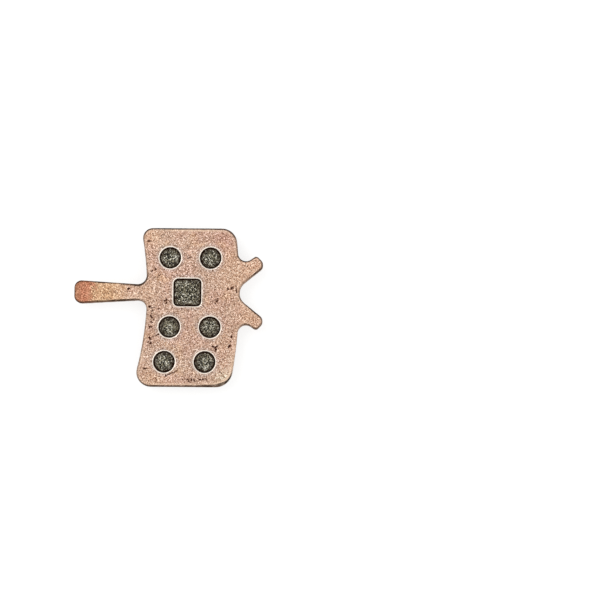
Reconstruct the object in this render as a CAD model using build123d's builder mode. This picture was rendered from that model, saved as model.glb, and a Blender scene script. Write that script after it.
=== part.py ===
from build123d import *
from math import cos, radians, sin, tan
import os

# Bicycle disc brake pad: a blanked steel plate with a sintered friction block keyed through its holes.
# Sizes are in millimetres. The pad lies on its friction face, with the back of the plate up.
# X runs from the pull tab to the hooks and Y across the pad. The origin is on the friction face,
# under the centre of the outline.

# Overall size
length = 42.0  # tip of the pull tab to the tips of the hooks
height = 35.5  # one straight edge to the other
friction_thickness = 2.0
plate_thickness = 2.0
axis_y = 3.3  # the tab, the square hole and the notch share this line

# Plate body, between a hollow edge that carries the tab and a bulged edge that carries the hooks
tab_edge_x = -4.8
tab_edge_radius = 71.0
hook_edge_x = 15.8
hook_edge_radius = 109.0
edge_arc_y = -0.5  # both arcs centre a little below the shared line
top_tab_corner = 2.25
top_hook_corner = 3.4
low_tab_corner = 3.2
low_hook_corner = 3.9

# Pull tab, a little wider at its tip
tab_tip_width = 5.3
tab_neck_width = 3.2
tab_tip_radius = 1.6
tab_root_radius = 2.0

# Hooks and the notch between them
notch_apex_x = 14.1  # where the notch's sides would meet
notch_side_angle = 39.0  # from the axis to each side
notch_radius = 2.95
hook_end_angle = 45.0
hook_end_length = 3.1
hook_outer_angle = 35.0
hook_tip_radius = 1.5
hook_heel_radius = 0.75
hook_root_radius = 1.8

# Keying holes: two rows of round ones beside the square one, and a third row set over to the tab side
hole_diameter = 4.7
hole_pitch_x = 9.0
hole_pitch_y = 7.75
hole_column_x = 4.78
low_row_x = 3.74
square_hole_x = 4.2
square_hole_side = 6.1
square_hole_radius = 1.0

# Friction block: how far its edges stand in from the plate's, its corners, and its plugs in the holes
tab_rim = 1.4
hook_rim = 1.0
top_rim = 0.8
low_rim = 1.1
top_tab_block_corner = 1.2
top_hook_block_corner = 2.4
low_tab_block_corner = 1.8
low_hook_block_corner = 2.8
plug_recess = 0.4
plug_edge_radius = 0.4

# Edges: rolled over on the back, where the punch went in, and only broken on the friction side
back_edge_radius = 0.25
hole_edge_radius = 0.3
front_edge_radius = 0.12
block_edge_radius = 0.2

# The outline is drawn on the plate's friction side, with its X axis on the shared line
outline_plane = Plane((0, axis_y, friction_thickness))
top_y = height / 2 - axis_y
low_y = -height / 2 - axis_y
inside = 1.0  # overlap of the tab and the hooks with the body


def nearest(sketch, x, y):
    """The sketch's corner nearest to a point."""
    return sketch.vertices().sort_by_distance((x, y))[0]


def strip_between_arcs(low, top, tab_side_radius, hook_side_radius):
    """A level strip, cut off by the bulged arc on the hook side and by the hollow arc on the tab side."""
    with Locations((0, (low + top) / 2)):
        Rectangle(length, top - low)
    with Locations((hook_edge_x - hook_edge_radius, edge_arc_y)):
        Circle(hook_side_radius, mode=Mode.INTERSECT)
    with Locations((tab_edge_x - tab_edge_radius, edge_arc_y)):
        Circle(tab_side_radius, mode=Mode.SUBTRACT)


def round_corners(sketch, low, top, top_tab, top_hook, low_tab, low_hook):
    """Rounds the four corners of a strip."""
    fillet(nearest(sketch, tab_edge_x, top), top_tab)
    fillet(nearest(sketch, hook_edge_x, top), top_hook)
    fillet(nearest(sketch, tab_edge_x, low), low_tab)
    fillet(nearest(sketch, hook_edge_x, low), low_hook)


# Corners of one hook before rounding. The tip's rounding ends at half the length.
tip_half_angle = (notch_side_angle + hook_end_angle) / 2
tip_lean = (hook_end_angle - notch_side_angle) / 2
tip_overhang = hook_tip_radius * (cos(radians(tip_lean)) / sin(radians(tip_half_angle)) - 1)
hook_tip_x = length / 2 + tip_overhang
hook_tip_y = (hook_tip_x - notch_apex_x) * tan(radians(notch_side_angle))
hook_heel_x = hook_tip_x - hook_end_length * cos(radians(hook_end_angle))
hook_heel_y = hook_tip_y + hook_end_length * sin(radians(hook_end_angle))
hook_root_x = hook_edge_x - inside
hook_root_y = hook_heel_y - (hook_heel_x - hook_root_x) * tan(radians(hook_outer_angle))

# Keying holes, drawn once for the plate's holes and for the plugs that fill them
with BuildSketch(outline_plane) as keying_holes:
    with Locations((hole_column_x, 0)):
        with GridLocations(hole_pitch_x, 2 * hole_pitch_y, 2, 2):
            Circle(hole_diameter / 2)
    with Locations((low_row_x, -2 * hole_pitch_y)):
        with GridLocations(hole_pitch_x, hole_pitch_y, 2, 1):
            Circle(hole_diameter / 2)
    with Locations((square_hole_x, 0)):
        RectangleRounded(square_hole_side, square_hole_side, square_hole_radius)

# Backing plate
with BuildPart() as backing_plate:
    with BuildSketch(outline_plane) as outline:
        strip_between_arcs(low_y, top_y, tab_edge_radius, hook_edge_radius)
        round_corners(
            outline, low_y, top_y, top_tab_corner, top_hook_corner, low_tab_corner, low_hook_corner
        )
        # Pull tab
        tab_tip = (-length / 2, tab_tip_width / 2)
        tab_neck = (tab_edge_x + inside, tab_neck_width / 2)
        with BuildLine():
            Polyline(
                tab_tip, tab_neck, (tab_neck[0], -tab_neck[1]), (tab_tip[0], -tab_tip[1]), close=True
            )
        make_face()
        # Hooks, one on each side of the axis
        for side in (1, -1):
            with BuildLine():
                Polyline(
                    (notch_apex_x, 0),
                    (hook_tip_x, side * hook_tip_y),
                    (hook_heel_x, side * hook_heel_y),
                    (hook_root_x, side * hook_root_y),
                    close=True,
                )
            make_face()
        # Notch between the hooks
        with BuildLine():
            Polyline((notch_apex_x, 0), (hook_tip_x, hook_tip_y), (hook_tip_x, -hook_tip_y), close=True)
        make_face(mode=Mode.SUBTRACT)
        fillet(nearest(outline, notch_apex_x, 0), notch_radius)
        for side in (1, -1):
            fillet(nearest(outline, tab_tip[0], side * tab_tip[1]), tab_tip_radius)
            fillet(nearest(outline, tab_edge_x, side * tab_neck[1]), tab_root_radius)
            fillet(nearest(outline, hook_tip_x, side * hook_tip_y), hook_tip_radius)
            fillet(nearest(outline, hook_heel_x, side * hook_heel_y), hook_heel_radius)
            fillet(nearest(outline, hook_edge_x, side * hook_root_y), hook_root_radius)
    extrude(amount=plate_thickness)
    extrude(to_extrude=keying_holes.sketch, amount=plate_thickness, mode=Mode.SUBTRACT)
    back = backing_plate.faces().sort_by(Axis.Z)[-1]
    fillet(back.outer_wire().edges(), back_edge_radius)
    back = backing_plate.faces().sort_by(Axis.Z)[-1]
    fillet([edge for hole in back.inner_wires() for edge in hole.edges()], hole_edge_radius)
    front = backing_plate.faces().sort_by(Axis.Z)[0]
    fillet(front.outer_wire().edges(), front_edge_radius)

# Friction block, with a plug in each keying hole
with BuildPart() as friction_block:
    with BuildSketch(Plane((0, axis_y, 0))) as footprint:
        block_low_y = low_y + low_rim
        block_top_y = top_y - top_rim
        strip_between_arcs(
            block_low_y, block_top_y, tab_edge_radius + tab_rim, hook_edge_radius - hook_rim
        )
        round_corners(
            footprint,
            block_low_y,
            block_top_y,
            top_tab_block_corner,
            top_hook_block_corner,
            low_tab_block_corner,
            low_hook_block_corner,
        )
    extrude(amount=friction_thickness)
    fillet(friction_block.faces().sort_by(Axis.Z)[0].edges(), block_edge_radius)
    extrude(to_extrude=keying_holes.sketch, amount=plate_thickness - plug_recess)
    fillet(friction_block.edges().group_by(Axis.Z)[-1], plug_edge_radius)

backing_plate.part.label = "backing_plate"
friction_block.part.label = "friction_block"

os.makedirs("parts", exist_ok=True)
for piece in (backing_plate, friction_block):
    export_step(piece.part, f"parts/{piece.part.label}.step")
    print(piece.part.label, "volume", round(piece.part.volume, 1), "mm3")
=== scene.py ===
from math import radians

import bmesh
import bpy
import numpy as np
from mathutils import Matrix, Vector, noise
from mathutils.bvhtree import BVHTree
from mathutils.kdtree import KDTree


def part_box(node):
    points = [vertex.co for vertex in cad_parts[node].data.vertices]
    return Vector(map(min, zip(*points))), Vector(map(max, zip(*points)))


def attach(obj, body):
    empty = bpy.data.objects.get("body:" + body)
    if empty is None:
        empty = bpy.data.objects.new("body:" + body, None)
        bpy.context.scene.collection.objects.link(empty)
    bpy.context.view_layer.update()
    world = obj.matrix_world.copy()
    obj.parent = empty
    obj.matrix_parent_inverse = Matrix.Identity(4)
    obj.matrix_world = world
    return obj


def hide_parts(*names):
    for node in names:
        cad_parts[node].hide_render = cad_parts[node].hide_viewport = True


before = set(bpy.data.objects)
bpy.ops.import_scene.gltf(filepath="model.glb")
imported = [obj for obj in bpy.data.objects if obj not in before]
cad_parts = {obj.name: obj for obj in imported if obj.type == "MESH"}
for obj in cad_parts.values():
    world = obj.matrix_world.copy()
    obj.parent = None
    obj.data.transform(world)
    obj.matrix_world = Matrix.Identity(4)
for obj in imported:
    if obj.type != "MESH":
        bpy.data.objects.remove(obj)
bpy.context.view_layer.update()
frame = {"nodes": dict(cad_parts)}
scene = bpy.context.scene
scene.view_settings.view_transform = "Standard"
mm = 0.001
white = (1.0, 1.0, 1.0, 1.0)
print("frame loaded:", ", ".join(frame["nodes"]))


# Small helpers for node trees

def srgb(red, green, blue):  # a colour as picked on screen, 0 to 255
    def linear(level):
        level = level / 255
        return level / 12.92 if level <= 0.04045 else ((level + 0.055) / 1.055) ** 2.4

    return (linear(red), linear(green), linear(blue), 1.0)


def shares(red, green, blue):  # what a colour is multiplied by
    return (red, green, blue, 1.0)


def feed(tree, socket, value):  # a link where the value is another node's output
    if isinstance(value, bpy.types.NodeSocket):
        tree.links.new(value, socket)
    else:
        socket.default_value = value


def addNode(tree, kind, sockets, **settings):
    node = tree.nodes.new("ShaderNode" + kind)
    for name, value in settings.items():
        setattr(node, name, value)
    for name, value in sockets.items():
        feed(tree, node.inputs[name], value)
    return node


def calc(tree, operation, first, second):
    return addNode(tree, "Math", {0: first, 1: second}, operation=operation).outputs[0]


def plus(tree, first, second):
    return calc(tree, "ADD", first, second)


def minus(tree, first, second):
    return calc(tree, "SUBTRACT", first, second)


def times(tree, first, second):
    return calc(tree, "MULTIPLY", first, second)


def larger(tree, first, second):
    return calc(tree, "MAXIMUM", first, second)


def spread(tree, value, low, high, toLow=0.0, toHigh=1.0, smooth=False):
    node = addNode(
        tree,
        "MapRange",
        {"Value": value, "From Min": low, "From Max": high, "To Min": toLow, "To Max": toHigh},
        interpolation_type="SMOOTHSTEP" if smooth else "LINEAR",
    )
    return node.outputs["Result"]


def between(tree, mask, atNone, atFull):  # one value where the mask is 0, the other where it is 1
    return spread(tree, mask, 0.0, 1.0, atNone, atFull)


def mixColour(tree, amount, first, second, blend="MIX"):  # by number, a Mix node's colour sockets
    sockets = {0: amount, 6: first, 7: second}
    return addNode(tree, "Mix", sockets, data_type="RGBA", blend_type=blend).outputs[2]


def painted(tree, name):  # a mask stored on the mesh
    return addNode(tree, "Attribute", {}, attribute_name=name).outputs["Fac"]


def newGroup(name, inputs, output):
    group = bpy.data.node_groups.new(name, "ShaderNodeTree")
    for socket, kind in inputs.items():
        group.interface.new_socket(socket, in_out="INPUT", socket_type="NodeSocket" + kind)
    group.interface.new_socket(output, in_out="OUTPUT", socket_type="NodeSocketFloat")
    given = group.nodes.new("NodeGroupInput").outputs
    result = group.nodes.new("NodeGroupOutput").inputs
    return group, given, result


def useGroup(tree, group, sockets):
    node = tree.nodes.new("ShaderNodeGroup")
    node.node_tree = group
    for name, value in sockets.items():
        feed(tree, node.inputs[name], value)
    return node.outputs


# Camera, almost straight above the pad, with the photograph's own framing

camera = {
    "aim": (29.3, 2.2, 0.0),  # mm, where the middle of the picture meets the floor
    "distance": 354.5,  # mm
    "tilt": 6.0,  # degrees from straight above, towards -Y
    "turn": 0.45,  # degrees
    "lens": 94.5,
    "sensor": 36.0,
    "nearest": 10.0,  # mm, so that close views aren't cut open
}


def makeCamera():
    lens = bpy.data.cameras.new("photoCamera")
    lens.lens = camera["lens"]
    lens.sensor_width = camera["sensor"]
    lens.clip_start = camera["nearest"] * mm
    viewer = bpy.data.objects.new("photoCamera", lens)
    scene.collection.objects.link(viewer)
    aim = Matrix.Translation(Vector(camera["aim"]) * mm)
    turn = Matrix.Rotation(radians(camera["turn"]), 4, "Z")
    tilt = Matrix.Rotation(radians(camera["tilt"]), 4, "X")
    back = Matrix.Translation((0.0, 0.0, camera["distance"] * mm))
    viewer.matrix_world = aim @ turn @ tilt @ back
    scene.camera = viewer


makeCamera()
print("camera placed")


# Studio: white surroundings, a white floor and two soft lamps

studio = {
    "skyLevel": 0.62,  # of the light that it sheds; looked at, it is white
    "floorColour": (168, 168, 167),
    "floorRoughness": 0.9,
    "floorGlow": 0.76,  # only for rays that look at the floor, so that it is white
    "floorSize": 4.0,  # m
    "floorDrop": 0.02,  # mm below the friction face
    "lamps": {  # place in m, width in m, power in W
        "keyLamp": ((-0.36, 0.22, 0.55), 0.5, 1.1),
        "fillLamp": ((0.40, -0.30, 0.45), 0.6, 0.6),
    },
}


def lookedAt(tree):  # 1 for rays that look at a surface, 0 for the light that it sheds
    path = addNode(tree, "LightPath", {}).outputs
    seen = larger(tree, path["Is Camera Ray"], path["Is Glossy Ray"])
    return larger(tree, seen, path["Is Transmission Ray"])


def makeSky():
    sky = bpy.data.worlds.new("whiteSky")
    sky.use_nodes = True
    tree = sky.node_tree
    shine = tree.nodes["Background"].inputs
    shine["Color"].default_value = white
    feed(tree, shine["Strength"], between(tree, lookedAt(tree), studio["skyLevel"], 1.0))
    scene.world = sky


def makeFloor():
    paper = bpy.data.materials.new("whitePaper")
    paper.use_nodes = True
    tree = paper.node_tree
    shader = tree.nodes["Principled BSDF"].inputs
    shader["Base Color"].default_value = srgb(*studio["floorColour"])
    shader["Roughness"].default_value = studio["floorRoughness"]
    shader["Specular IOR Level"].default_value = 0.0
    shader["Emission Color"].default_value = white
    feed(tree, shader["Emission Strength"], times(tree, lookedAt(tree), studio["floorGlow"]))
    bm = bmesh.new()
    bmesh.ops.create_grid(bm, x_segments=1, y_segments=1, size=studio["floorSize"] / 2)
    bmesh.ops.translate(bm, vec=(0.0, 0.0, -studio["floorDrop"] * mm), verts=bm.verts)
    mesh = bpy.data.meshes.new("floor")
    bm.to_mesh(mesh)
    bm.free()
    mesh.materials.append(paper)
    floor = bpy.data.objects.new("floor", mesh)
    scene.collection.objects.link(floor)


def makeLamps():
    for name, (place, width, power) in studio["lamps"].items():
        glow = bpy.data.lights.new(name, "AREA")
        glow.size = width
        glow.energy = power
        lamp = bpy.data.objects.new(name, glow)
        scene.collection.objects.link(lamp)
        lamp.location = place
        lamp.rotation_euler = (-Vector(place)).to_track_quat("-Z", "Y").to_euler()
        lamp.visible_camera = False


makeSky()
makeFloor()
makeLamps()
print("studio lit")


# Effects that both finishes use, as shader groups

effects = {
    "grainDetail": 4.0,
    "grainRoughness": 0.65,
    "patchDetail": 3.0,
    "patchRoughness": 0.6,
    "speckSizes": (0.5, 1.2),  # least and most, in sizes as asked for
    "speckEdge": (1.15, 0.7),  # where a speck begins and where it is full, in its own sizes
    "raggedness": 0.6,  # of the specks' edges, in sizes
    "raggedScale": 2.5,  # how much finer that is than the specks
}
middle = 0.5  # of what a noise texture gives


def makeFineGrain():  # a fine speckle, 0 to 1
    group, given, result = newGroup(
        "fineGrain", {"Coordinates": "Vector", "Scale": "Float", "Contrast": "Float"}, "Grain"
    )
    cloud = addNode(
        group,
        "TexNoise",
        {
            "Vector": given["Coordinates"],
            "Scale": given["Scale"],
            "Detail": effects["grainDetail"],
            "Roughness": effects["grainRoughness"],
        },
    )
    centred = minus(group, cloud.outputs["Fac"], middle)
    grain = plus(group, times(group, centred, given["Contrast"]), middle)
    feed(group, result["Grain"], spread(group, grain, 0.0, 1.0))
    return group


def makeScatteredSpecks():  # separate spots of mixed size; Share is how many cells hold one
    group, given, result = newGroup(
        "scatteredSpecks",
        {"Coordinates": "Vector", "Scale": "Float", "Share": "Float", "Size": "Float"},
        "Mask",
    )
    place = given["Coordinates"]
    raggedScale = times(group, given["Scale"], effects["raggedScale"])
    wobble = addNode(group, "TexNoise", {"Vector": place, "Scale": raggedScale}).outputs["Fac"]
    cells = addNode(group, "TexVoronoi", {"Vector": place, "Scale": given["Scale"]}).outputs
    lots = addNode(group, "SeparateColor", {"Color": cells["Color"]}).outputs
    chosen = calc(group, "LESS_THAN", lots["Red"], given["Share"])
    size = times(group, given["Size"], between(group, lots["Green"], *effects["speckSizes"]))
    ragged = times(group, minus(group, wobble, middle), effects["raggedness"])
    gap = plus(group, cells["Distance"], times(group, ragged, given["Size"]))
    begin, full = [times(group, size, share) for share in effects["speckEdge"]]
    spot = spread(group, gap, begin, full, smooth=True)
    feed(group, result["Mask"], times(group, chosen, spot))
    return group


def makeSlowPatches():  # broad drifting areas, 0 to 1
    group, given, result = newGroup(
        "slowPatches",
        {"Coordinates": "Vector", "Scale": "Float", "Low": "Float", "High": "Float"},
        "Mask",
    )
    cloud = addNode(
        group,
        "TexNoise",
        {
            "Vector": given["Coordinates"],
            "Scale": given["Scale"],
            "Detail": effects["patchDetail"],
            "Roughness": effects["patchRoughness"],
        },
    )
    patch = spread(group, cloud.outputs["Fac"], given["Low"], given["High"], smooth=True)
    feed(group, result["Mask"], patch)
    return group


fineGrain = makeFineGrain()
scatteredSpecks = makeScatteredSpecks()
slowPatches = makeSlowPatches()
print("shared effects made")


def grainOn(tree, place, scale, contrast):
    sockets = {"Coordinates": place, "Scale": scale, "Contrast": contrast}
    return useGroup(tree, fineGrain, sockets)["Grain"]


def specksOn(tree, place, scale, share, size):
    sockets = {"Coordinates": place, "Scale": scale, "Share": share, "Size": size}
    return useGroup(tree, scatteredSpecks, sockets)["Mask"]


def patchesOn(tree, place, scale, low, high):
    sockets = {"Coordinates": place, "Scale": scale, "Low": low, "High": high}
    return useGroup(tree, slowPatches, sockets)["Mask"]


# Helpers for the two pieces. Their nets are shaped in millimetres and end in metres.

weldGap = 0.001  # mm, between points of a CAD mesh that are one
lumpShift = (17.3, 5.1, 9.7)  # how far each seed moves the noise, in its own widths
pitShift = (13.1, 7.7, 3.9)


def netCopy(node, name, spacing):  # a CAD node's shape as an even net of points
    bm = bmesh.new()
    bm.from_mesh(frame["nodes"][node].data)
    bmesh.ops.remove_doubles(bm, verts=bm.verts, dist=weldGap * mm)
    bmesh.ops.scale(bm, vec=(1 / mm, 1 / mm, 1 / mm), verts=bm.verts)
    mesh = bpy.data.meshes.new(name)
    bm.to_mesh(mesh)
    bm.free()
    piece = bpy.data.objects.new(name, mesh)
    scene.collection.objects.link(piece)
    net = piece.modifiers.new("net", "REMESH")
    net.mode = "VOXEL"
    net.voxel_size = spacing
    net.use_smooth_shade = True
    bpy.context.view_layer.update()
    shaped = piece.evaluated_get(bpy.context.evaluated_depsgraph_get())
    piece.data = bpy.data.meshes.new_from_object(shaped)
    piece.data.name = name
    piece.modifiers.clear()
    return piece


def readNet(mesh, what):
    values = np.empty(len(mesh.vertices) * 3, np.float32)
    mesh.vertices.foreach_get(what, values)
    return values.reshape(-1, 3).astype(float)


def paintMask(mesh, name, values):
    layer = mesh.attributes.new(name, "FLOAT", "POINT")
    layer.data.foreach_set("value", values.astype(np.float32))


def flatTree(places):  # finds the nearest of these points, seen from above
    tree = KDTree(len(places))
    for index, place in enumerate(places):
        tree.insert((place[0], place[1], 0.0), index)
    tree.balance()
    return tree


def flatGaps(tree, places):  # distance to the nearest point, and which one it is
    found = [tree.find((place[0], place[1], 0.0)) for place in places]
    return np.array([hit[2] for hit in found]), np.array([hit[1] for hit in found])


def easeOut(gap, full, none):  # 1 up to the first distance, 0 from the second on
    part = np.clip((none - gap) / (none - full), 0.0, 1.0)
    return part * part * (3.0 - 2.0 * part)


def areaMask(places, areas):  # soft round areas added together
    mask = np.zeros(len(places))
    for x, y, reach, amount in areas:
        gap = (places[:, 0] - x) ** 2 + (places[:, 1] - y) ** 2
        mask += amount * np.exp(-gap / reach**2)
    return mask


def lumps(places, size, seed):  # smooth noise at each point, -1 to 1
    shift = Vector([seed * width for width in lumpShift])
    return np.array([noise.noise(Vector(place) / size + shift) for place in places])


def hollows(places, size, seed):  # the same from 0 to 1, as a share of a depth
    return 0.5 + 0.5 * lumps(places, size, seed)


def pits(places, size, seed):  # distance to the nearest of scattered points, in cell widths
    shift = Vector([seed * width for width in pitShift])
    return np.array([noise.voronoi(Vector(place) / size + shift)[0][0] for place in places])


def settle(piece, node, places, finish):  # writes the shape back in metres, gives it its finish, hangs it under the root body and hides the CAD part
    low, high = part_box(node)
    places = np.clip(places * mm, np.array(low), np.array(high))
    mesh = piece.data
    mesh.vertices.foreach_set("co", places.astype(np.float32).ravel())
    mesh.update()
    mesh.materials.clear()
    mesh.materials.append(finish)
    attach(piece, "root")
    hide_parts(node)
    print(piece.name, "made,", sum(len(face.vertices) - 2 for face in mesh.polygons), "triangles")


# Backing plate: blanked steel with a thin, matt, speckled copper coat

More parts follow.
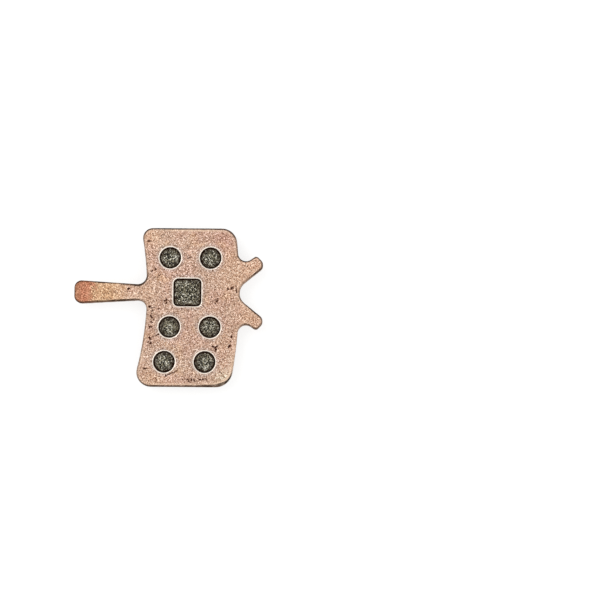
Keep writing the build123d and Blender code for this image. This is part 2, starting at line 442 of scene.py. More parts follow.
plate = {
    # Net and relief, in mm
    "spacing": 0.148,  # between the net's points
    "grainSize": 0.32,
    "grainDepth": 0.025,
    "lipCalm": 0.8,  # share of that depth that the lips have lost
    "stainDepth": 0.03,
    "fracture": 0.6,  # share of the thickness that broke off rough when the plate was blanked
    "fractureBlend": (0.15, 0.1),  # below and above that height, where rough turns smooth
    "fractureSize": 0.3,
    "fractureDepth": 0.04,
    "fractureStretch": 0.4,  # below 1, its marks run up and down the walls
    "seeds": {"grain": 1, "stains": 4, "fracture": 6},
    # What counts as the back, a wall or a hole: how far a normal leans, and distances in mm
    "backDepth": 0.4,
    "uprightLean": 0.25,
    "uprightMargins": (0.4, 0.45),  # left out at the walls' foot and top
    "plugGap": 0.1,  # a wall this close to a plug is a hole's
    # how far from a hole's wall its painted shade reaches
    "holeWallShade": (0.05, 0.15),
    "holeDark": 0.16,  # below the back, where the holes' walls get painted shade
    "holeFade": 0.1,
    "wallLean": (0.2, 0.5),
    "wallGap": (0.1, 0.2),
    "wallTop": (0.5, 0.2),  # below the back, where the edge's tarnish and painted shade give way to the wall's
    # Lips (bare metal with a painted highlight), tarnish with painted shade, and the rim's painted
    # highlight, with widths in mm
    "lipWidth": 0.17,  # bare metal lip round each hole, with a painted highlight
    "lipFade": 0.24,
    "lipRagged": 0.25,
    "lipCut": (0.3, 0.7),  # levels of the lip's mask between which it comes in
    "heatReach": (0.6, 1.2),  # tint round each hole
    "edgeWidth": 0.22,  # tarnish and painted shade along the outline
    "edgeFade": 0.2,
    "edgeLeast": 0.35,  # tarnish and painted shade on edges across the pad
    "burnishTone": 0.2,  # tarnish and painted shade on the smooth upper part of the walls
    "fractureTone": 0.42,  # and on the rough lower part
    "wallFollow": 0.2,  # how much of its edge's tarnish and painted shade a wall takes on
    "tarnishRange": (0.7, 1.15),  # how unevenly the tarnish and painted shade lie
    "streakTone": 0.08,  # how far the walls are streaked
    "streakStretch": 0.12,
    "rimWidth": 0.58,  # painted highlight: a paler line inside the tarnish and painted shade
    "rimFade": 0.3,
    "rimRange": (0.12, 0.7),  # least and most of it
    # Stretches of colour on the tab, in mm
    "tanEnd": -7.5,  # where the yellow stretch ends
    "tanRun": 6.0,  # and how far it takes to come in
    "tanMost": 0.85,
    "tabEnd": -16.75,  # where the end turns red
    "redRun": 1.0,  # to each side of that
    "redLevels": (2.1, 3.0),  # heights between which that red comes in
    "tabWander": 0.8,  # how unevenly both stretches end
    "tipReach": (-19.0, -21.0),  # where the very tip dulls
    "tipDull": 0.45,  # how much of its own colour it takes
    # Speckle, with scales per metre: contrast, or share and size, or low and high levels
    "grain": (5200.0, 3.2),
    "fleck": (3600.0, 3.0),
    "streaks": (4500.0, 2.6),
    "pits": (4900.0, 0.54, 0.56),
    "pitMost": 0.9,
    # bare metal facets whose bright colour is a painted glint
    "glintFacets": (5300.0, 0.54, 0.54),
    "facetMost": 0.85,
    "facetHeight": 0.4,
    "specks": (1500.0, 0.36, 0.2),
    "speckMost": 0.75,
    "pinkPatches": (190.0, 0.44, 0.62),
    "pinkDrift": 0.3,  # how strongly the coat drifts to that tint
    "tanPatches": (260.0, 0.52, 0.7),
    "tanDrift": 0.4,
    "unevenPatches": (900.0, 0.3, 0.7),
    "calmRed": 0.15,  # how much of the speckle the tab's red end has lost
    "calmWall": 0.55,  # and the sheared walls
    "toneRange": (0.83, 1.17),  # shares of the coat where it is darkest and palest
    # Stains, with sizes in mm
    "dots": (2900.0, 0.72, 0.62),
    "dotRange": (0.75, 1.5),  # how far the dots weaken and strengthen a stain
    "stainFleck": (-0.3, 0.15),
    "stainCut": (0.3, 0.55),  # levels between which a stain comes in
    "stainRagged": 0.05,
    "stainRaggedSize": 0.3,
    "stainReach": (0.5, 3.0),  # where a stain is full and where it ends, in half widths
    "stainLeast": 0.6,  # strength of the narrowest, and what each mm of half width adds
    "stainGain": 2.0,
    "haloFleck": (-0.35, 0.1),
    "haloCut": (0.15, 0.7),
    "haloMost": 0.6,
    # Shine
    "gloss": 0.05,
    "metal": 0.6,
    "bareMetal": 0.95,  # lips and facets
    "dullMetal": 0.1,  # share of it that is left under tarnish, painted shade and stains
    "roughness": 0.55,
    "bareRoughness": 0.36,
    "dullRoughness": 0.2,  # added under tarnish, painted shade and stains
    "grainPolish": 0.08,
    "bumpStrength": 0.5,
    "bumpDepth": 0.03,  # mm
    "colours": {
        "coat": (206, 168, 143),
        "pink": (207, 156, 136),
        "tan": (212, 165, 123),
        "straw": (208, 182, 153),
        "red": (190, 121, 91),  # the red end is marbled from this to the next
        "ember": (208, 145, 112),
        "tip": (146, 104, 72),
        # near white: bare metal with a painted highlight
        "lip": (245, 234, 221),
        # painted highlight along the rolled edge of the outline
        "rim": (239, 210, 183),
        # tarnish with painted shade along the outline and down the walls
        "tarnishShadeColour": (64, 45, 32),
        # near black painted shade on some stretches of the edge
        "blackEdgeShadeColour": (14, 8, 5),
        "halo": (124, 72, 44),  # brown round the stains
        "stain": (64, 30, 14),
        # painted shade on the holes' walls
        "holeShadeColour": (78, 36, 8),
    },
    "shares": {  # of the coat's colour
        "grainDark": (0.46, 0.37, 0.29),  # the speckle's two ends
        "grainPale": (1.36, 1.50, 1.64),
        "pit": (0.18, 0.10, 0.05),
        # painted glints on the facets
        "facetGlint": (1.75, 2.2, 2.65),
        "heat": (0.90, 0.965, 1.04),  # close to the holes
    },
    "edgeTones": [  # x, y and reach in mm, and how much darker the edge's tarnish and painted shade are there, or paler
        (-8.0, 5.1, 2.0, 0.8),
        (-5.9, 6.2, 1.6, 1.0),
        (-6.3, 0.9, 1.6, -0.5),
        (-11.0, 5.4, 1.6, -0.5),
        (-18.5, 5.8, 2.0, -0.3),
        (-16.5, 0.9, 2.0, -0.25),
        (4.0, -17.7, 8.0, -0.15),
        (14.2, -15.4, 1.4, 0.6),
        (15.3, 11.5, 3.5, 0.1),
        (14.6, -9.0, 5.0, -1.0),
        (-21.0, 3.3, 2.5, 0.35),
        (-4.4, 16.8, 2.0, 0.4),
        (20.2, 8.8, 1.6, 0.5),
        (20.2, -2.2, 1.6, 0.5),
        (17.3, 5.6, 2.2, -0.5),
    ],
    "blackEdgeShadeAreas": [  # x, y and reach in mm, and how far the edge's painted shade turns black there
        (4.5, 17.7, 8.0, 1.0),
        (14.0, -15.8, 1.6, 0.9),
    ],
    "edgeWide": [  # x, y and reach in mm, and how much wider the tarnish and painted shade are there, in mm
        (6.0, 17.7, 9.0, 0.01),
        (-6.6, 5.3, 2.0, 0.22),
        (1.0, -17.7, 7.0, 0.05),
        (9.8, -17.7, 2.4, 0.18),
        (11.9, -17.2, 1.4, 0.32),
        (14.0, -15.8, 1.6, -0.06),
        (13.0, 16.0, 2.0, 0.06),
    ],
    "rimTones": [  # the same as for the edge, for the paler line, a painted highlight
        (6.0, 17.6, 8.0, 0.55),
        (13.4, -15.2, 2.6, 0.55),
        (14.6, -8.0, 5.0, 0.12),
        (-4.0, -12.0, 7.0, 0.25),
        (3.0, -17.0, 6.0, 0.3),
        (10.8, -17.0, 2.0, 0.35),
        (17.0, 1.0, 3.0, 0.25),
    ],
    "tones": [  # x, y and reach in mm, and how pale, or how dark below 0
        (18.5, 8.6, 3.5, 0.8),
        (18.0, -2.2, 3.0, 0.35),
        (-3.4, 15.4, 1.5, 0.5),
        (13.5, 5.5, 2.5, 0.4),
        (12.5, -13.5, 2.0, 0.5),
        (12.5, -10.0, 2.0, 0.4),
        (-0.5, -8.0, 1.5, 0.5),
        (-17.5, 3.3, 1.1, -0.5),
        (-11.8, 3.3, 2.2, 0.2),
        (-8.4, 2.8, 1.4, 0.4),
        (-5.0, 2.2, 1.4, 0.4),
        (5.4, 12.2, 1.5, 0.4),
        (-2.0, 12.2, 1.2, 0.4),
        (1.8, -2.1, 1.6, -0.6),
        (-1.5, 16.0, 1.5, -0.4),
        (-4.6, -9.0, 1.3, -0.4),
        (-3.6, -5.6, 1.3, -0.3),
        (5.4, -16.3, 2.0, -0.3),
        (-1.3, 7.3, 1.4, 0.5),
        (9.3, 4.6, 1.3, -0.45),
        (6.5, -3.6, 1.2, -0.8),
        (12.0, -6.1, 1.4, 0.5),
        (-1.3, -16.4, 1.4, 0.45),
        (19.8, -3.2, 1.4, 0.4),
        (14.6, 12.8, 1.4, -0.4),
        (1.3, -16.9, 1.2, 0.6),
        (12.0, -16.6, 1.2, 0.5),
    ],
    "tanAreas": [  # x, y and reach in mm, and how much of the tan colour
        (19.0, 8.8, 3.0, 0.3),
        (18.5, -2.2, 3.2, 0.35),
        (-5.0, 3.0, 2.5, 0.2),
        (-4.2, 15.6, 2.4, 0.35),
        (14.5, 5.5, 4.0, 0.2),
        (-3.5, -15.8, 2.8, 0.3),
        (12.5, -8.0, 2.5, 0.15),
        (13.8, 11.5, 2.6, 0.3),
    ],
    "strawAreas": [  # and of the straw colour
        (12.8, -16.0, 2.2, 0.85),
        (14.8, -12.0, 1.6, 0.35),
        (3.6, -13.0, 2.4, 0.35),
        (-1.2, 12.6, 1.3, 0.5),
    ],
    "pinkAreas": [  # and of the pink colour
        (12.2, 15.2, 3.0, 0.65),
        (13.8, 11.8, 2.6, 0.3),
        (-4.6, -5.9, 1.3, 0.4),
        (18.8, 9.0, 2.5, 0.4),
        (18.8, -2.4, 2.5, 0.35),
    ],
    "stains": [  # from x, y to x, y, and half the width, all in mm
        (-9.0, 4.0, -8.7, 4.0, 0.14),
        (-3.0, 8.5, -2.9, 8.4, 0.14),
        (-3.7, 8.0, -3.6, 8.1, 0.11),
        (-2.1, 7.0, -2.1, 7.0, 0.11),
        (4.2, 11.0, 5.2, 11.2, 0.08),
        (-0.75, 1.4, -0.75, 1.4, 0.12),
        (-0.45, 2.1, -0.4, 0.75, 0.07),
        (-0.4, 1.0, -0.6, 0.7, 0.11),
        (-1.2, 1.7, -1.2, 1.7, 0.09),
        (-0.2, 1.6, -0.2, 1.6, 0.09),
        (-4.1, 0.0, -4.0, 0.0, 0.17),
        (-3.7, -0.25, -3.7, -0.25, 0.13),
        (-3.2, -0.1, -3.2, -0.1, 0.14),
        (-2.1, -0.4, -2.1, -0.4, 0.11),
        (-3.75, -0.85, -3.45, -0.85, 0.10),
        (-3.6, -1.55, -3.6, -1.55, 0.075),
        (-3.8, -2.0, -3.65, -2.4, 0.12),
        (-3.2, -2.85, -3.2, -2.85, 0.13),
        (-2.6, -3.1, -2.6, -3.1, 0.09),
        (-3.8, -3.25, -3.5, -3.55, 0.11),
        (-4.1, -4.45, -3.6, -4.5, 0.13),
        (-3.95, -6.1, -3.95, -6.1, 0.11),
        (-3.3, -6.7, -3.2, -6.7, 0.10),
        (-2.7, -6.5, -2.05, -6.05, 0.10),
        (-4.1, -6.8, -3.8, -7.3, 0.14),
        (-3.75, -8.05, -3.75, -8.05, 0.17),
        (-4.3, -7.85, -4.3, -7.85, 0.12),
        (-2.15, -7.95, -2.15, -7.95, 0.09),
        (13.25, 4.1, 13.25, 4.1, 0.13),
        (13.9, 4.2, 14.35, 4.5, 0.14),
        (15.0, 4.8, 15.0, 4.8, 0.11),
        (15.15, 4.2, 15.2, 3.3, 0.09),
        (10.85, 1.35, 10.85, 1.35, 0.15),
        (10.4, 1.7, 10.4, 1.7, 0.10),
        (11.05, 1.9, 11.05, 1.9, 0.09),
        (10.45, 0.75, 10.45, 0.75, 0.11),
        (9.9, 1.25, 9.9, 1.25, 0.09),
        (11.5, 1.0, 11.5, 1.0, 0.09),
        (9.65, 2.3, 9.65, 2.3, 0.09),
        (15.6, 1.5, 15.6, 1.5, 0.11),
        (14.1, -6.5, 14.1, -6.7, 0.14),
        (14.0, -7.6, 14.0, -7.6, 0.11),
        (13.6, -8.8, 13.8, -8.5, 0.14),
        (9.9, -8.6, 10.5, -9.1, 0.12),
        (11.0, -8.7, 10.5, -9.1, 0.12),
        (10.7, -9.2, 10.7, -9.7, 0.14),
        (3.45, -16.13, 3.45, -16.13, 0.09),
        (3.85, -15.83, 4.0, -15.93, 0.09),
        (4.4, -16.13, 4.65, -16.08, 0.10),
        (4.75, -16.38, 4.75, -16.53, 0.10),
        (5.35, -15.93, 5.5, -16.23, 0.10),
        (5.95, -16.18, 6.1, -16.48, 0.11),
        (6.6, -15.83, 7.0, -15.83, 0.07),
        (7.15, -16.18, 7.5, -16.13, 0.08),
        (7.9, -16.08, 8.1, -15.93, 0.10),
        (8.1, -16.38, 8.1, -16.38, 0.08),
        (8.4, -15.93, 8.65, -15.98, 0.09),
        (8.55, -16.23, 8.55, -16.23, 0.08),
        (8.9, -16.13, 8.9, -16.13, 0.10),
        (-5.3, -13.8, -4.6, -13.8, 0.10),
        (-0.3, -15.3, -0.3, -15.3, 0.14),
        (-0.2, -15.3, 2.3, -14.1, 0.08),
        (-4.7, 14.8, -4.1, 14.8, 0.11),
    ],
}


def stainMask(places):
    spots = np.zeros(len(places))
    ragged = lumps(places, plate["stainRaggedSize"], plate["seeds"]["stains"])
    ragged = ragged * plate["stainRagged"]
    full, none = plate["stainReach"]
    for fromX, fromY, toX, toY, width in plate["stains"]:
        start = np.array((fromX, fromY))
        run = np.array((toX, toY)) - start
        length = max(run @ run, 1e-9)  # squared, and above 0 for a round stain
        along = np.clip((places[:, :2] - start) @ run / length, 0.0, 1.0)
        gap = np.linalg.norm(places[:, :2] - start - along[:, None] * run, axis=1)
        strength = min(1.0, plate["stainLeast"] + width * plate["stainGain"])
        spots = np.maximum(spots, strength * easeOut(gap + ragged, width * full, width * none))
    return spots


def makeCopperCoat():
    finish = bpy.data.materials.new("copperCoat")
    finish.use_nodes = True
    tree = finish.node_tree
    shader = tree.nodes["Principled BSDF"].inputs
    paint = {name: srgb(*levels) for name, levels in plate["colours"].items()}
    share = {name: shares(*levels) for name, levels in plate["shares"].items()}
    place = addNode(tree, "TexCoord", {}).outputs["Object"]
    axes = addNode(tree, "SeparateXYZ", {"Vector": place}).outputs
    stretch = {"Vector": place, "Scale": (1.0, 1.0, plate["streakStretch"])}
    upright = addNode(tree, "Mapping", stretch).outputs["Vector"]
    grain = grainOn(tree, place, *plate["grain"])
    fleck = grainOn(tree, place, *plate["fleck"])
    streaks = grainOn(tree, upright, *plate["streaks"])
    pitted = specksOn(tree, place, *plate["pits"])
    glintFacets = specksOn(tree, place, *plate["glintFacets"])
    specks = specksOn(tree, place, *plate["specks"])
    dots = specksOn(tree, place, *plate["dots"])
    pinkDrift = times(tree, patchesOn(tree, place, *plate["pinkPatches"]), plate["pinkDrift"])
    tanDrift = times(tree, patchesOn(tree, place, *plate["tanPatches"]), plate["tanDrift"])
    uneven = patchesOn(tree, place, *plate["unevenPatches"])
    wall = painted(tree, "wall")
    holeShade = painted(tree, "holeShade")

    # Drifting tints
    pink = larger(tree, pinkDrift, painted(tree, "pink"))
    tan = larger(tree, tanDrift, painted(tree, "tan"))
    colour = mixColour(tree, pink, paint["coat"], paint["pink"])
    colour = mixColour(tree, tan, colour, paint["tan"])
    colour = mixColour(tree, painted(tree, "straw"), colour, paint["straw"])

    # The tab's tan stretch and red end
    wander = plate["tabWander"] * mm
    along = plus(tree, axes["X"], between(tree, uneven, -wander, wander))
    tanFull = plate["tanEnd"] - plate["tanRun"]
    tabTan = spread(tree, along, plate["tanEnd"] * mm, tanFull * mm, smooth=True)
    colour = mixColour(tree, times(tree, tabTan, plate["tanMost"]), colour, paint["tan"])
    redStart, redFull = plate["tabEnd"] + plate["redRun"], plate["tabEnd"] - plate["redRun"]
    tabRed = spread(tree, along, redStart * mm, redFull * mm, smooth=True)
    redLow, redHigh = plate["redLevels"]
    onBack = spread(tree, axes["Z"], redLow * mm, redHigh * mm, smooth=True)
    tabRed = times(tree, tabRed, onBack)
    red = mixColour(tree, uneven, paint["red"], paint["ember"])
    tipStart, tipEnd = plate["tipReach"]
    tip = spread(tree, axes["X"], tipStart * mm, tipEnd * mm, 0.0, plate["tipDull"], smooth=True)
    red = mixColour(tree, tip, red, paint["tip"])
    colour = mixColour(tree, tabRed, colour, red)

    # Paler and darker areas, and the tint round the holes
    tone = spread(tree, painted(tree, "tone"), -1.0, 1.0, *plate["toneRange"])
    colour = mixColour(tree, 1.0, colour, tone, "MULTIPLY")
    colour = mixColour(tree, painted(tree, "heatTint"), colour, share["heat"], "MULTIPLY")

    # Speckle, facets with painted glints, and pits, calmer on the red end and on the walls
    shade = mixColour(tree, grain, share["grainDark"], share["grainPale"])
    shade = mixColour(tree, times(tree, glintFacets, plate["facetMost"]), shade, share["facetGlint"])
    shade = mixColour(tree, times(tree, pitted, plate["pitMost"]), shade, share["pit"])
    calmRed = times(tree, tabRed, plate["calmRed"])
    calm = larger(tree, calmRed, times(tree, wall, plate["calmWall"]))
    shade = mixColour(tree, calm, shade, white)
    colour = mixColour(tree, 1.0, colour, shade, "MULTIPLY")
    colour = mixColour(tree, times(tree, specks, plate["speckMost"]), colour, paint["stain"])

    # The rim's painted highlight, the lips (bare metal with a painted highlight) and the tarnish
    # with painted shade
    # painted highlight: a paler line just inside the outline
    rim = times(tree, painted(tree, "rim"), minus(tree, 1.0, tabRed))
    colour = mixColour(tree, rim, colour, paint["rim"])
    lipRagged = between(tree, fleck, -plate["lipRagged"], plate["lipRagged"])
    lip = plus(tree, painted(tree, "lip"), lipRagged)
    lip = spread(tree, lip, *plate["lipCut"], smooth=True)
    # the lips: bare metal, painted near white as a highlight
    colour = mixColour(tree, lip, colour, paint["lip"])
    # tarnish with painted shade on the outline, strongest on edges along the pad
    tarnishShadeLevel = times(tree, painted(tree, "tarnishShadeMask"), between(tree, uneven, *plate["tarnishRange"]))
    streaked = between(tree, streaks, -plate["streakTone"], plate["streakTone"])
    tarnishShadeLevel = spread(tree, plus(tree, tarnishShadeLevel, times(tree, wall, streaked)), 0.0, 1.0)
    # the tarnish colour turns to near black painted shade in places
    tarnishShadeColour = mixColour(tree, painted(tree, "blackEdgeShade"), paint["tarnishShadeColour"], paint["blackEdgeShadeColour"])
    colour = mixColour(tree, tarnishShadeLevel, colour, tarnishShadeColour)

    # The stains with their halos, and painted shade on the holes' walls
    smear = painted(tree, "stain")
    halo = plus(tree, smear, between(tree, fleck, *plate["haloFleck"]))
    halo = spread(tree, halo, *plate["haloCut"], 0.0, plate["haloMost"])
    stain = times(tree, smear, between(tree, dots, *plate["dotRange"]))
    stain = plus(tree, stain, between(tree, fleck, *plate["stainFleck"]))
    stain = spread(tree, stain, *plate["stainCut"], smooth=True)
    colour = mixColour(tree, halo, colour, paint["halo"])
    colour = mixColour(tree, stain, colour, paint["stain"])
    # painted shade on the holes' walls below the lip
    colour = mixColour(tree, holeShade, colour, paint["holeShadeColour"])
    feed(tree, shader["Base Color"], colour)
    shader["Specular IOR Level"].default_value = plate["gloss"]

    # Lips and facets are bare metal, and pits, tarnish with painted shade, the holes' painted
    # shade and stains are dull
    bare = larger(tree, lip, glintFacets)
    dull = larger(tree, larger(tree, stain, holeShade), tarnishShadeLevel)
    metal = between(tree, bare, plate["metal"], plate["bareMetal"])
    metal = times(tree, metal, between(tree, dull, 1.0, plate["dullMetal"]))
    feed(tree, shader["Metallic"], metal)
    rough = between(tree, bare, plate["roughness"], plate["bareRoughness"])
    rough = minus(tree, rough, times(tree, grain, plate["grainPolish"]))
    rough = plus(tree, rough, times(tree, dull, plate["dullRoughness"]))
    feed(tree, shader["Roughness"], rough)
    height = plus(tree, grain, times(tree, glintFacets, plate["facetHeight"]))
    relief = {
        "Strength": plate["bumpStrength"],
        "Distance": plate["bumpDepth"] * mm,
        "Height": minus(tree, height, pitted),
    }
    feed(tree, shader["Normal"], addNode(tree, "Bump", relief).outputs["Normal"])
    return finish


def makePlate():
    piece = netCopy("backing_plate", "copperedPlate", plate["spacing"])
    places = readNet(piece.data, "co")
    normals = readNet(piece.data, "normal")
    lean = np.abs(normals[:, 2])
    height = places[:, 2]
    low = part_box("backing_plate")[0].z / mm
    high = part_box("backing_plate")[1].z / mm

    # The walls of the holes and of the outline, and how far each point is from them
    foot, top = plate["uprightMargins"]
    upright = (lean < plate["uprightLean"]) & (height > low + foot) & (height < high - top)
    depsgraph = bpy.context.evaluated_depsgraph_get()
    plugs = BVHTree.FromObject(frame["nodes"]["friction_block"], depsgraph)
    plugGaps = np.array([plugs.find_nearest(Vector(place) * mm)[3] for place in places])
    byPlug = plugGaps < plate["plugGap"] * mm
    holeTree = flatTree(places[upright & byPlug])
    holeGaps, _ = flatGaps(holeTree, places)
    edgeGaps, nearest = flatGaps(flatTree(places[upright & ~byPlug]), places)
    across = np.abs(normals[upright & ~byPlug][nearest, 1])  # 1 on edges along the pad, which get the most painted shade

    # Masks of the holes' lips (bare metal with a painted highlight) and of the painted shade on
    # their walls
    back = (height > high - plate["backDepth"]).astype(float)
    holeDeep = easeOut(high - height, plate["holeDark"] + plate["holeFade"], plate["holeDark"])
    holeWallShade = easeOut(holeGaps, *plate["holeWallShade"]) * holeDeep
    lip = back * easeOut(holeGaps, plate["lipWidth"], plate["lipWidth"] + plate["lipFade"])
    lip = lip * (1.0 - holeWallShade)

    # Masks of the outline: tarnish and painted shade on the edge and down the wall, and the paler
    # rim, a painted highlight
    edgeShadeTone = plate["edgeLeast"] + (1.0 - plate["edgeLeast"]) * across
    edgeShadeTone = np.clip(edgeShadeTone + areaMask(places, plate["edgeTones"]), 0.0, 1.0)
    outlineBandGaps = edgeGaps - areaMask(places, plate["edgeWide"])
    tarnishShadeMask = easeOut(outlineBandGaps, plate["edgeWidth"], plate["edgeWidth"] + plate["edgeFade"])
    tarnishShadeMask = edgeShadeTone * tarnishShadeMask
    brokeOff = low + plate["fracture"] * (high - low)
    below, above = plate["fractureBlend"]
    broken = easeOut(height, brokeOff - below, brokeOff + above)
    wallShadeTone = plate["burnishTone"] + (plate["fractureTone"] - plate["burnishTone"]) * broken
    wallShadeTone = wallShadeTone + plate["wallFollow"] * edgeShadeTone
    wall = easeOut(lean, *plate["wallLean"]) * easeOut(edgeGaps, *plate["wallGap"])
    wallFull, wallNone = plate["wallTop"]
    onWall = wall * easeOut(height, high - wallFull, high - wallNone)
    tarnishShadeMask = tarnishShadeMask * (1.0 - onWall) + wallShadeTone * onWall
    rimLeast, rimMost = plate["rimRange"]
    rimTone = np.clip(rimLeast + areaMask(places, plate["rimTones"]), 0.0, rimMost)
    rim = rimTone * easeOut(outlineBandGaps, plate["rimWidth"], plate["rimWidth"] + plate["rimFade"])
    rim = back * rim * (1.0 - tarnishShadeMask)

    stain = back * stainMask(places)
    masks = {
        "wall": wall,
        "tone": np.clip(areaMask(places, plate["tones"]), -1.0, 1.0),
        "holeShade": holeWallShade,
        "heatTint": back * easeOut(holeGaps, *plate["heatReach"]),
        "lip": lip,
        "tarnishShadeMask": tarnishShadeMask,
        "rim": rim,
        "stain": stain,
    }
    for name in ("blackEdgeShade", "tan", "pink", "straw"):
        masks[name] = np.clip(areaMask(places, plate[name + "Areas"]), 0.0, 1.0)
    for name, values in masks.items():
        paintMask(piece.data, name, values)

    # Grain and stains are pressed in, so the plate keeps its size
    seeds = plate["seeds"]
    depth = plate["grainDepth"] * hollows(places, plate["grainSize"], seeds["grain"])
    depth = depth * (1.0 - plate["lipCalm"] * lip) + plate["stainDepth"] * stain
    stretched = places * np.array((1.0, 1.0, plate["fractureStretch"]))
    rough = hollows(stretched, plate["fractureSize"], seeds["fracture"])
    depth += plate["fractureDepth"] * wall * broken * rough
    places = places - normals * depth[:, None]
    settle(piece, "backing_plate", places, makeCopperCoat())
    return holeTree


holeTree = makePlate()


# Friction block: sintered compound, with a plug in each of the plate's holes

block = {
    # Net and relief, in mm
    "spacing": 0.14,  # between the net's points
    "grainSize": 0.34,
    "grainDepth": 0.06,
    "poreSize": 0.75,
    "poreDepth": 0.11,
    "poreRagged": 0.15,
    "poreRaggedSize": 0.4,
    "poreCut": (0.12, 0.38),  # where a pore is full and where it ends, in shares of its size
    "blotchDepth": 0.08,
    "seeds": {"pores": 2, "poreEdges": 3, "grain": 5, "creviceShade": 7},
    # What counts as a plug, the face or the seat: how far a normal leans, and distances in mm
    "plugRise": 0.3,  # above the seat
    "plugBlend": 0.2,
    "faceLean": -0.7,
    "faceShare": 0.45,  # of those depths on the flat friction face
    "seatLean": 0.5,
    "seatGap": 0.1,
    # Painted shade: dark ring inside each hole, in mm
    "creviceShade": 0.22,
    "creviceFade": 0.22,
    "raggedness": 0.2,  # of its inner edge
    "raggedSize": 0.7,
    "shade": 1.5,  # how far the painted shade darkens the plugs towards it
    "shadeMost": 0.5,
    # Speckle, with scales per metre: contrast, or share and size, or low and high levels
    "grain": (4800.0, 14.0),
    "patches": (500.0, 0.35, 0.65),
    "bright": (4600.0, 0.38, 0.6),
    "dark": (4000.0, 0.86, 0.66),
    "grainTone": 0.88,
    "patchTone": 0.08,
    "evenRough": 0.45,  # how much of the plugs' mixed colour the pressed faces have
    "evenBright": 0.35,  # and of their bright specks
    "evenDark": 0.4,  # and of their dark ones
    "glintLeast": 0.3,  # how far the grain breaks up the pale marks
    # Shine, for the compound and for its bright specks
    "gloss": 0.2,
    "metal": (0.15, 0.9),
    "roughness": (0.75, 0.4),
    "bumpStrength": 0.5,
    "bumpDepth": 0.05,  # mm
    "colours": {
        "even": (124, 121, 109),  # pressed sides and friction face
        "dark": (4, 2, 0),  # rough plugs, from dark to pale
        "pale": (198, 188, 158),
        "speck": (252, 248, 232),
        # near black: the dark specks and blotches, and painted shade in the pores
        "pore": (10, 5, 1),
        # painted shade in the ring round each plug
        "creviceShadeColour": (44, 20, 2),
    },
    "plugMarks": [  # x, y and reach in mm, and how pale, or how dark below 0
        (-0.65, 12.2, 0.2, 1.0),
        (-0.35, 11.85, 0.36, -1.0),
        (-0.1, 11.1, 0.3, -1.0),
        (0.0, 12.65, 0.17, 0.7),
        (0.4, 12.35, 0.25, -0.6),
        (1.3, 11.4, 0.5, 0.6),
        (1.85, 11.2, 0.4, 0.75),
        (0.4, 10.85, 0.18, 0.7),
        (1.6, 10.5, 0.22, 0.7),
        (-0.9, 10.4, 0.2, 0.9),
        (-0.25, 9.95, 0.2, 0.9),
        (0.4, 9.75, 0.4, 0.3),
        (1.5, 9.4, 0.4, -0.7),
        (-1.0, 9.6, 0.3, -0.5),
        (1.95, 10.2, 0.3, -0.4),
        (8.4, 10.85, 0.9, 0.2),
        (9.1, 12.85, 0.6, -0.4),
        (8.5, 12.0, 0.22, -0.7),
        (7.9, 9.9, 0.35, -0.5),
        (10.3, 9.55, 0.5, -0.45),
        (7.8, 11.4, 0.25, 0.6),
        (10.7, 10.25, 0.18, 0.6),
        (0.3, -4.5, 2.0, -0.15),
        (0.5, -2.5, 0.7, -0.5),
        (-1.3, -3.95, 0.22, 0.5),
        (0.3, -3.4, 0.22, 0.35),
        (1.5, -4.15, 0.35, 0.25),
        (-1.0, -5.65, 0.55, -0.5),
        (0.3, -6.3, 0.3, 0.35),
        (7.6, -3.35, 0.22, -0.8),
        (8.1, -3.5, 0.18, 0.7),
        (7.5, -4.35, 0.22, 0.7),
        (8.8, -3.95, 0.16, 0.6),
        (10.35, -3.9, 0.15, 0.8),
        (7.9, -5.65, 0.25, 0.4),
        (9.5, -4.75, 0.8, 0.2),
        (9.5, -2.65, 0.5, -0.4),
        (-1.95, -11.2, 0.18, 0.6),
        (-0.95, -12.15, 0.18, 0.6),
        (0.25, -11.65, 0.15, 0.6),
        (0.25, -12.5, 0.15, 0.6),
        (-0.55, -13.7, 0.8, -0.35),
        (-0.85, -10.5, 0.5, -0.35),
        (8.35, -13.5, 0.4, 0.9),
        (7.2, -13.75, 0.15, 0.8),
        (9.05, -13.2, 0.18, 0.7),
        (7.75, -12.65, 0.22, -0.8),
        (7.55, -13.5, 0.3, -0.8),
        (6.95, -12.2, 0.2, -0.6),
        (9.65, -11.8, 0.7, 0.3),
        (7.85, -10.75, 0.4, -0.5),
        (4.05, 4.35, 0.18, -0.7),
        (4.65, 4.3, 0.14, -0.7),
        (5.1, 4.1, 0.15, -0.8),
        (1.75, 5.0, 0.16, 0.8),
        (5.7, 2.6, 0.16, 0.8),
        (5.35, 2.15, 0.16, 0.7),
        (4.3, 1.9, 0.16, 0.8),
        (6.0, 5.45, 0.6, -0.3),
        (6.4, 1.15, 0.5, -0.3),
        (3.6, 1.5, 0.6, 0.2),
    ],
}


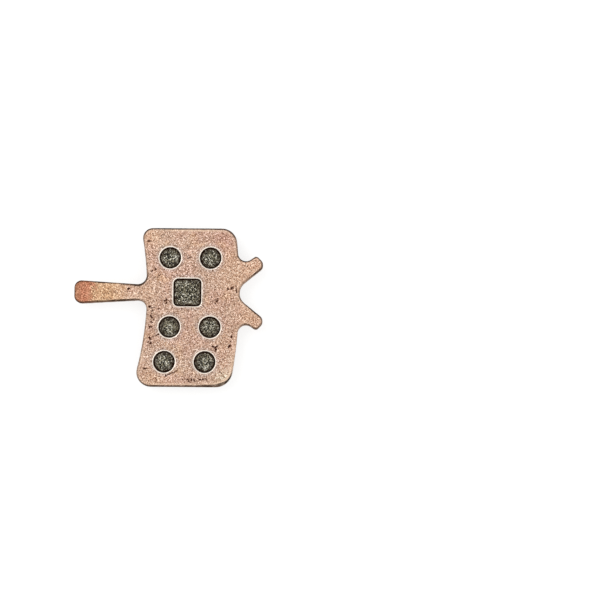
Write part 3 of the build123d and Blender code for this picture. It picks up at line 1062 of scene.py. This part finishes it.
def makeSinter():
    finish = bpy.data.materials.new("sinteredCompound")
    finish.use_nodes = True
    tree = finish.node_tree
    shader = tree.nodes["Principled BSDF"].inputs
    paint = {name: srgb(*levels) for name, levels in block["colours"].items()}
    place = addNode(tree, "TexCoord", {}).outputs["Object"]
    grain = grainOn(tree, place, *block["grain"])
    patches = patchesOn(tree, place, *block["patches"])
    bright = specksOn(tree, place, *block["bright"])
    dark = specksOn(tree, place, *block["dark"])
    plug = painted(tree, "plug")
    pore = painted(tree, "pore")
    creviceShade = painted(tree, "creviceShade")

    # Speckle, full on the plugs and weaker on the pressed faces
    grainTone = times(tree, grain, block["grainTone"])
    tone = plus(tree, grainTone, times(tree, patches, block["patchTone"]))
    colour = mixColour(tree, tone, paint["dark"], paint["pale"])
    colour = mixColour(tree, between(tree, plug, block["evenRough"], 1.0), paint["even"], colour)
    bright = times(tree, bright, between(tree, plug, block["evenBright"], 1.0))
    broken = between(tree, grain, block["glintLeast"], 1.0)
    bright = larger(tree, bright, times(tree, painted(tree, "glint"), broken))
    dark = times(tree, dark, between(tree, plug, block["evenDark"], 1.0))
    dark = larger(tree, dark, painted(tree, "blotch"))
    colour = mixColour(tree, bright, colour, paint["speck"])
    colour = mixColour(tree, dark, colour, paint["pore"])
    # painted shade in the pores, which are pressed into the net
    colour = mixColour(tree, pore, colour, paint["pore"])
    # painted shade in the ring round each plug, darkening towards the hole's wall
    colour = mixColour(tree, creviceShade, colour, paint["creviceShadeColour"])
    feed(tree, shader["Base Color"], colour)
    shader["Specular IOR Level"].default_value = block["gloss"]

    # Bright specks are metal, where no painted shade or dark speck hides them
    hidden = larger(tree, creviceShade, larger(tree, pore, dark))
    shine = times(tree, bright, minus(tree, 1.0, hidden))
    feed(tree, shader["Metallic"], between(tree, shine, *block["metal"]))
    feed(tree, shader["Roughness"], between(tree, shine, *block["roughness"]))
    relief = {
        "Strength": block["bumpStrength"],
        "Distance": block["bumpDepth"] * mm,
        "Height": grain,
    }
    feed(tree, shader["Normal"], addNode(tree, "Bump", relief).outputs["Normal"])
    return finish


def makeBlock():
    piece = netCopy("friction_block", "sinteredBlock", block["spacing"])
    places = readNet(piece.data, "co")
    normals = readNet(piece.data, "normal")
    lean = normals[:, 2]
    height = places[:, 2]
    seeds = block["seeds"]
    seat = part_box("backing_plate")[0].z / mm  # where the plate lies on the block

    # The plugs and the painted shade in the ring round each of them
    plug = easeOut(seat + block["plugRise"] - height, 0.0, block["plugBlend"])
    holeGaps, _ = flatGaps(holeTree, places)
    ragged = lumps(places, block["raggedSize"], seeds["creviceShade"])
    holeGaps = holeGaps + block["raggedness"] * ragged
    creviceShade = easeOut(holeGaps, block["creviceShade"], block["creviceShade"] + block["creviceFade"])
    shade = block["shadeMost"] * easeOut(holeGaps, block["creviceShade"], block["shade"])
    creviceShade = plug * np.maximum(creviceShade, shade)

    # Grain, pores and blotches, shallow on the friction face and none under the plate
    share = np.where(lean < block["faceLean"], block["faceShare"], 1.0)
    onSeat = (lean > block["seatLean"]) & (height < seat + block["seatGap"])
    share = np.where(onSeat, 0.0, share)
    poreGaps = pits(places, block["poreSize"], seeds["pores"])
    poreEdges = lumps(places, block["poreRaggedSize"], seeds["poreEdges"])
    pore = easeOut(poreGaps + block["poreRagged"] * poreEdges, *block["poreCut"])
    rough = block["grainDepth"] * hollows(places, block["grainSize"], seeds["grain"])
    marks = areaMask(places, block["plugMarks"])
    marks = plug * np.clip(marks * (1.0 + np.abs(marks)), -1.0, 1.0)  # strong ones get a firm core
    blotch = np.maximum(-marks, 0.0)
    depth = share * (rough + block["poreDepth"] * pore + block["blotchDepth"] * blotch)
    masks = {
        "plug": plug,
        "glint": np.maximum(marks, 0.0),
        "blotch": blotch,
        "pore": pore * share,
        "creviceShade": creviceShade,
    }
    for name, values in masks.items():
        paintMask(piece.data, name, values)
    places = places - normals * depth[:, None]
    settle(piece, "friction_block", places, makeSinter())


makeBlock()
